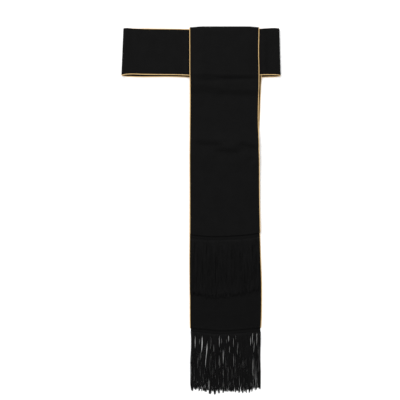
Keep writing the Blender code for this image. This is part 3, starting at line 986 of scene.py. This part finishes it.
def cord_rings(left, right, hem_line, ends, partings, leans, level, seed, uneven, drawn):
    """The fringe's cords, in layers that lie on each other: rings carried down each cord's line.

    A cord starts inside the heading and runs down to its own end. On the way it leans with its neighbours,
    is pushed aside at each parting, wanders and slants a little, is drawn into a lock over the last tenth
    of its length and splays at its tip. The locks end high and low in turn. Uneven is how far in
    millimetres the cords' lengths spread, and drawn is how much of their pull the locks have.
    """
    chance = np.random.default_rng(seed)
    pitch = (right - left) / CORDS
    root = left + pitch * (np.arange(CORDS) + chance.uniform(0.1, 0.9, CORDS))
    layer = np.arange(CORDS) % CORD_LAYERS
    hem = hem_at(hem_line, root)

    locks = left + np.cumsum(chance.uniform(*LOCK_WIDTH, MOST_LOCKS)) * MM
    locks = locks[locks < right + LOCK_PAST_EDGE]
    lock = np.argmin(np.abs(root[:, None] - locks), axis=1)
    lock_pull = drawn * chance.uniform(*LOCK_PULL, len(locks))[lock]
    in_turn = np.where(np.arange(len(locks)) % 2, 1.0, -1.0)
    lock_ends = in_turn * chance.uniform(*LOCK_STEP, len(locks)) + chance.normal(0, LOCK_STRAY, len(locks))
    short = np.abs(chance.normal(0, uneven, CORDS)) * MM + LOCK_POINT * np.abs(root - locks[lock])
    end = -along(ends, root, "down") + lock_ends[lock] * MM + short - TIPS_LOWER

    share = CORD_STATIONS
    top = hem - HEADING_HEIGHT + CORD_TUCK
    y = top[:, None] + (end - top)[:, None] * share
    down = hem[:, None] - y
    start = root[:, None]
    x = start + 0 * y
    for lean in leans:
        near = np.exp(-(((start - lean.root * MM) / (lean.spread * MM)) ** 2))
        leaning = ease((down / MM - lean.down_from) / (lean.down_to - lean.down_from))
        x = x + lean.shift * MM * near * leaning
    crossing = (chance.uniform(0, 1, CORDS) < CROSSING_SHARE)[:, None]
    for parting in partings:
        middle = (parting.down_from + parting.down_to) / 2
        half = (parting.down_to - parting.down_from) / 2
        opened = np.clip(1 - ((down / MM - middle) / half) ** 2, 0, 1)
        away = start - parting.root * MM
        fade = np.clip(1 - np.abs(away) / (parting.reach * MM), 0, 1)
        x = x + np.where(crossing, 0.0, np.sign(away) * parting.opening / 2 * MM * fade * opened)
    gather = ease((share - 0.9) / 0.1) * lock_pull[:, None]
    x = x + (locks[lock][:, None] - start) * gather
    x = x + chance.normal(0, SPLAY, CORDS)[:, None] * MM * ease((share - 0.85) / 0.15)
    phase = chance.uniform(0, 2 * math.pi, (CORDS, 2, 1))
    length = chance.uniform(*WANDER_LENGTH, (CORDS, 2, 1)) * MM
    wander = (np.sin(down[:, None] / length + phase) - np.sin(phase)).sum(axis=1)
    loose = chance.uniform(*WANDER_WIDTH, CORDS)[:, None] * MM
    slant = chance.normal(0, SLANT, CORDS)[:, None] * MM
    x = x + (wander * loose + slant * share) * ease(share * 2)
    held = np.clip(x, left - STRAY_OUT, right + STRAY_OUT)
    x = held + (x - held) * STRAY_KEPT
    loose_layer = CORD_RADIUS * (LOWEST_LAYER + LOOSE_LAYER_STEP * layer[:, None])
    sewn_layer = CORD_RADIUS * (LOWEST_LAYER + SEWN_LAYER_STEP * layer[:, None])
    z = level + sewn_layer + (loose_layer - sewn_layer) * ease(share * 7)
    z = z - (loose_layer - CORD_RADIUS) * SETTLING * ease((share - 0.6) / 0.4)

    lines = np.stack([x, y, z], axis=-1)
    taper = np.ones(len(share))
    taper[-1] = CORD_TIP
    thick = CORD_RADIUS * chance.uniform(*CORD_THICKNESS, CORDS)[:, None] * taper
    angle = np.linspace(0, 2 * math.pi, CORD_SIDES, endpoint=False) + math.pi / 4
    ring = np.repeat(lines[:, :, None], len(angle), axis=2)
    ring[..., 0] += thick[..., None] * np.cos(angle)
    ring[..., 2] += thick[..., None] * np.sin(angle)
    return ring


def shader(name, colour, roughness, specular, sheen=0.0, sheen_roughness=0.5):
    """A material with its own Principled shader, and the tree and shader to add a pattern to."""
    material = bpy.data.materials.new(name)
    material.use_nodes = True
    tree = material.node_tree
    surface = tree.nodes["Principled BSDF"]
    surface.inputs["Base Color"].default_value = (*colour, 1.0)
    surface.inputs["Roughness"].default_value = roughness
    surface.inputs["Specular IOR Level"].default_value = specular
    surface.inputs["Sheen Weight"].default_value = sheen
    surface.inputs["Sheen Roughness"].default_value = sheen_roughness
    return material, tree, surface


def coloured(tree, surface, colour):
    """The shader's colour from a pattern."""
    tree.links.new(colour, surface.inputs["Base Color"])


def uv_of(tree, turn=0.0, stretch=(1.0, 1.0, 1.0)):
    """The piece's own UV map, turned by an angle in degrees and stretched."""
    source = tree.nodes.new("ShaderNodeUVMap")
    source.uv_map = "Cut"
    mapping = tree.nodes.new("ShaderNodeMapping")
    mapping.inputs["Rotation"].default_value = (0.0, 0.0, math.radians(turn))
    mapping.inputs["Scale"].default_value = stretch
    tree.links.new(source.outputs["UV"], mapping.inputs["Vector"])
    return mapping.outputs["Vector"]


def ribs(tree, vector, pitch, distortion=0.0):
    """Parallel ribs across a vector's first direction, a pitch apart: at a scale of 1 it is 2 pi / 20."""
    wave = tree.nodes.new("ShaderNodeTexWave")
    wave.wave_type = "BANDS"
    wave.bands_direction = "X"
    wave.inputs["Scale"].default_value = 2 * math.pi / 20 / pitch
    wave.inputs["Distortion"].default_value = distortion
    wave.inputs["Detail"].default_value = 1.0
    wave.inputs["Detail Scale"].default_value = 1.5
    tree.links.new(vector, wave.inputs["Vector"])
    return wave.outputs["Fac"]


def clouds(tree, vector, size, detail=2.0):
    """Soft random clouds of about a size, in the vector's unit."""
    noise = tree.nodes.new("ShaderNodeTexNoise")
    noise.inputs["Scale"].default_value = 1 / size
    noise.inputs["Detail"].default_value = detail
    tree.links.new(vector, noise.inputs["Vector"])
    return noise.outputs["Fac"]


def between(tree, factor, low, high, start=0.3, end=0.7):
    """A colour that goes from low to high as a pattern goes from start to end."""
    ramp = tree.nodes.new("ShaderNodeValToRGB")
    ramp.color_ramp.elements[0].position = start
    ramp.color_ramp.elements[0].color = (*low, 1.0)
    ramp.color_ramp.elements[1].position = end
    ramp.color_ramp.elements[1].color = (*high, 1.0)
    tree.links.new(factor, ramp.inputs["Fac"])
    return ramp.outputs["Color"]


def tinted(tree, first, second):
    """The product of two patterns' colours."""
    node = tree.nodes.new("ShaderNodeVectorMath")
    node.operation = "MULTIPLY"
    tree.links.new(first, node.inputs[0])
    tree.links.new(second, node.inputs[1])
    return node.outputs[0]


def combined(tree, operation, first, second):
    """One number from two patterns' heights."""
    node = tree.nodes.new("ShaderNodeMath")
    node.operation = operation
    tree.links.new(first, node.inputs[0])
    tree.links.new(second, node.inputs[1])
    return node.outputs[0]


def raised(tree, surface, height, strength, distance):
    """Bump from a pattern, up to a distance high."""
    bump = tree.nodes.new("ShaderNodeBump")
    bump.inputs["Strength"].default_value = strength
    bump.inputs["Distance"].default_value = distance
    tree.links.new(height, bump.inputs["Height"])
    tree.links.new(bump.outputs["Normal"], surface.inputs["Normal"])


def black_cloth(name, depth):
    """A matt black twill: slanting ribs with painted shade in the grooves between them, crossed by fine
    threads, with faint clouds, all scaled by depth, which darkens the wrong side as painted shade.
    """
    material, tree, surface = shader(
        name, (0.0040, 0.0040, 0.0041), roughness=0.7, specular=0.05, sheen=0.02, sheen_roughness=0.5
    )
    twill = ribs(tree, uv_of(tree, turn=62.0), pitch=0.62, distortion=0.8)
    yarn = ribs(tree, uv_of(tree, turn=90.0), pitch=0.42, distortion=0.4)
    raised(tree, surface, combined(tree, "ADD", twill, yarn), strength=0.55, distance=0.12 * MM)
    patches = clouds(tree, uv_of(tree), size=26.0, detail=4.0)
    # A depth below 1 darkens the whole colour as painted shade.
    shade = between(tree, patches, (0.88 * depth,) * 3, (1.12 * depth,) * 3)
    # Painted shade: the colour is darkest in the grooves between the twill's ribs.
    ribs_with_painted_groove_shade = between(tree, twill, (0.0016, 0.0016, 0.0016), (0.0057, 0.0057, 0.0058), start=0.1, end=0.9)
    coloured(tree, surface, tinted(tree, ribs_with_painted_groove_shade, shade))
    return material


def gold_satin():
    """Gold satin cut on the slant and wrapped round a cord: fine slanting threads and soft puckers."""
    material, tree, surface = shader(
        "Gold satin", (0.68, 0.445, 0.185), roughness=0.34, specular=0.45, sheen=0.1, sheen_roughness=0.4
    )
    yarn = ribs(tree, uv_of(tree, turn=45.0), pitch=0.34, distortion=0.5)
    pucker = ribs(tree, uv_of(tree, turn=90.0), pitch=3.2, distortion=1.5)
    raised(tree, surface, combined(tree, "ADD", yarn, pucker), strength=0.45, distance=0.14 * MM)
    shade = clouds(tree, uv_of(tree, stretch=(1.0, 0.25, 1.0)), size=2.6, detail=3.0)
    coloured(tree, surface, between(tree, shade, (0.58, 0.37, 0.14), (0.77, 0.52, 0.23)))
    return material


def black_cord():
    """Black chained cord: two slanting sets of links with a soft lustre, each cord in a tone of its own."""
    material, tree, surface = shader(
        "Black fringe cord", (0.0026, 0.0026, 0.0027),
        roughness=0.5, specular=0.085, sheen=0.03, sheen_roughness=0.4,
    )
    first = ribs(tree, uv_of(tree, turn=58.0), pitch=0.9)
    second = ribs(tree, uv_of(tree, turn=-58.0), pitch=0.9)
    raised(tree, surface, combined(tree, "MAXIMUM", first, second), strength=0.7, distance=0.25 * MM)
    tone = clouds(tree, uv_of(tree, stretch=(0.25, 0.1, 1.0)), size=3.0)
    darkest, palest = (0.0004, 0.0004, 0.0004), (0.0048, 0.0048, 0.0050)
    coloured(tree, surface, between(tree, tone, darkest, palest, start=0.36, end=0.64))
    return material


def black_braid():
    """The fringe heading's black yarn: fine twisted threads over the modelled chains, with painted shade in
    the twist's grooves, on a tape coloured darker as painted shade in the groove below the hem.

    V is millimetres down the heading, and a tenth of it goes from the shaded tape to yarn between 0.52 and
    0.68.
    """
    material, tree, surface = shader(
        "Black heading yarn", (0.0036, 0.0036, 0.0037),
        roughness=0.65, specular=0.05, sheen=0.02, sheen_roughness=0.4,
    )
    twist = ribs(tree, uv_of(tree, turn=35.0), pitch=0.5, distortion=0.6)
    raised(tree, surface, twist, strength=0.5, distance=0.12 * MM)
    parts = tree.nodes.new("ShaderNodeSeparateXYZ")
    tree.links.new(uv_of(tree, stretch=(1.0, 0.1, 1.0)), parts.inputs["Vector"])
    # Painted shade: the tape in the groove below the hem is coloured darker than the yarn.
    groove_tape_painted_shade_black, yarn_black = (0.0023, 0.0023, 0.0023), (0.0029, 0.0029, 0.0030)
    black = between(tree, parts.outputs["Y"], groove_tape_painted_shade_black, yarn_black, start=0.52, end=0.68)
    # Painted shade: the yarn is coloured darker in the twist's grooves.
    shade = between(tree, twist, (0.8, 0.8, 0.8), (1.1, 1.1, 1.1))
    coloured(tree, surface, tinted(tree, black, shade))
    return material


def sewing_thread():
    """Black sewing thread: a tight twist with a slight gloss."""
    material, tree, surface = shader(
        "Black sewing thread", (0.006, 0.006, 0.0062), roughness=0.5, specular=0.12
    )
    twist = ribs(tree, uv_of(tree, turn=50.0), pitch=0.25)
    raised(tree, surface, twist, strength=0.5, distance=0.05 * MM)
    return material


def closure_tape():
    """Nylon closure tape: a tight plain weave with a slight gloss, and faint clouds in its colour."""
    material, tree, surface = shader(
        "Black closure tape", (0.012, 0.012, 0.0125), roughness=0.55, specular=0.3
    )
    warp = ribs(tree, uv_of(tree), pitch=0.5)
    weft = ribs(tree, uv_of(tree, turn=90.0), pitch=0.5)
    raised(tree, surface, combined(tree, "MAXIMUM", warp, weft), strength=0.6, distance=0.12 * MM)
    patches = clouds(tree, uv_of(tree), size=5.0)
    coloured(tree, surface, between(tree, patches, (0.009, 0.009, 0.0094), (0.015, 0.015, 0.0156)))
    return material


def floor_and_light():
    """A pale floor, an even pale surround and one large soft lamp from above."""
    bpy.context.scene.view_settings.view_transform = "Standard"
    world = bpy.data.worlds.new("Studio")
    bpy.context.scene.world = world
    world.use_nodes = True
    backdrop = world.node_tree.nodes["Background"]
    backdrop.inputs["Color"].default_value = (1.0, 1.0, 1.0, 1.0)
    backdrop.inputs["Strength"].default_value = 0.80

    mesh = bpy.data.meshes.new("Floor")
    corners = [(-FLOOR_HALF, -FLOOR_HALF, 0), (FLOOR_HALF, -FLOOR_HALF, 0)]
    corners += [(FLOOR_HALF, FLOOR_HALF, 0), (-FLOOR_HALF, FLOOR_HALF, 0)]
    mesh.from_pydata(corners, [], [(0, 1, 2, 3)])
    floor = bpy.data.objects.new("Floor", mesh)
    bpy.context.scene.collection.objects.link(floor)
    material, _, surface = shader("Pale floor", (0.97, 0.97, 0.97), roughness=0.9, specular=0.1)
    surface.inputs["Emission Color"].default_value = (1.0, 1.0, 1.0, 1.0)
    surface.inputs["Emission Strength"].default_value = 0.08
    mesh.materials.append(material)

    lamp = bpy.data.lights.new("Softbox", "AREA")
    lamp.shape = "RECTANGLE"
    lamp.size = 1.8
    lamp.size_y = 1.4
    lamp.energy = 80.0
    holder = bpy.data.objects.new("Softbox", lamp)
    bpy.context.scene.collection.objects.link(holder)
    holder.location = (-1.2, 2.4, 2.3)
    aim(holder, (0.0, 0.0, 0.0))


def aim(holder, target):
    """Turns a lamp's own -Z to a point, with its Y up."""
    away = np.array(target) - np.array(holder.location)
    level = math.hypot(away[0], away[1])
    holder.rotation_euler = (math.atan2(level, -away[2]), 0.0, math.atan2(away[0], -away[1]) + math.pi)


def camera():
    """Straight above the middle of the photograph's frame, as far as makes the frame fill the view."""
    data = bpy.data.cameras.new("Camera")
    data.lens = LENS
    data.sensor_width = SENSOR
    holder = bpy.data.objects.new("Camera", data)
    bpy.context.scene.collection.objects.link(holder)
    holder.location = (*VIEW_MIDDLE, VIEW_WIDTH / SENSOR * LENS)
    holder.rotation_euler = (0.0, 0.0, 0.0)
    data.clip_start = 0.05
    data.clip_end = 20.0
    bpy.context.scene.camera = holder


cloth = black_cloth("Black twill", 1.0)
# Painted shade: the wrong side, which the back fall shows, is coloured darker, standing in for the weaker
# light down the falls.
cloth_wrong_side_painted_darker = black_cloth("Black twill wrong side painted darker", 0.78)
gold = gold_satin()
cord = black_cord()
braid = black_braid()
thread = sewing_thread()
tape = closure_tape()

band = band_surface()
falls = falls_surface()

band_cloth = cloth_piece("waistband_cloth", band, cloth, cloth_wrong_side_painted_darker, "waistband")
falls_cloth = cloth_piece("falls_cloth", falls, cloth, cloth_wrong_side_painted_darker, "falls")

for node, edge, outwards, roll in (
    ("waistband_piping_top", band[:, 0], (0, 1, 0), TOP_ROLL),
    ("waistband_piping_bottom", band[:, -1], (0, -1, 0), NOT_ROLLED),
    ("falls_piping_left", falls[:, 0], (-1, 0, 0), NOT_ROLLED),
    ("falls_piping_right", falls[:, -1], (1, 0, 0), NOT_ROLLED),
):
    seam = finer(edge - np.array(outwards) * INTO_SEAM, PIPING_STEP)
    piping_piece(node + "_satin", seam, outwards, gold, node, roll)

front_hem = falls[0]
back_hem = falls[-1]
front_reach = (front_hem[:, 0] > FRONT_FRINGE_LEFT) & (front_hem[:, 0] < FRONT_FRINGE_RIGHT)
back_reach = (back_hem[:, 0] > BACK_FRINGE_LEFT) & (back_hem[:, 0] < BACK_HEADING_RIGHT)
front_heading = heading_piece("fringe_front_heading", front_hem[front_reach], LAYER, braid)
back_heading = heading_piece("fringe_back_heading", back_hem[back_reach], BACK_HEADING_LEVEL, braid)
front_cords = ringed_piece(
    "fringe_front_cords",
    cord_rings(
        FRONT_FRINGE_LEFT, FRONT_FRINGE_RIGHT, front_hem, FRONT_ENDS, FRONT_PARTINGS, FRONT_LEANS,
        level=CLOTH + SEAM_GAP, seed=5, uneven=9.0, drawn=0.2,
    ),
    cord, "fringe_front",
)
back_cords = ringed_piece(
    "fringe_back_cords",
    cord_rings(
        BACK_FRINGE_LEFT, BACK_FRINGE_RIGHT, back_hem, BACK_ENDS, BACK_PARTINGS, BACK_LEANS,
        level=BACK_CORD_LEVEL, seed=11, uneven=2.1, drawn=1.0,
    ),
    cord, "fringe_back",
)
band_stitches = edge_stitching("waistband_stitching", band, thread)
falls_stitches = edge_stitching("falls_stitching", falls, thread)

hook_tape = tape_piece("closure_hook_pad", "closure_hook_tape", True, hooks, tape)
loop_tape = tape_piece("closure_loop_pad", "closure_loop_tape", False, loops, tape)

floor_and_light()
camera()
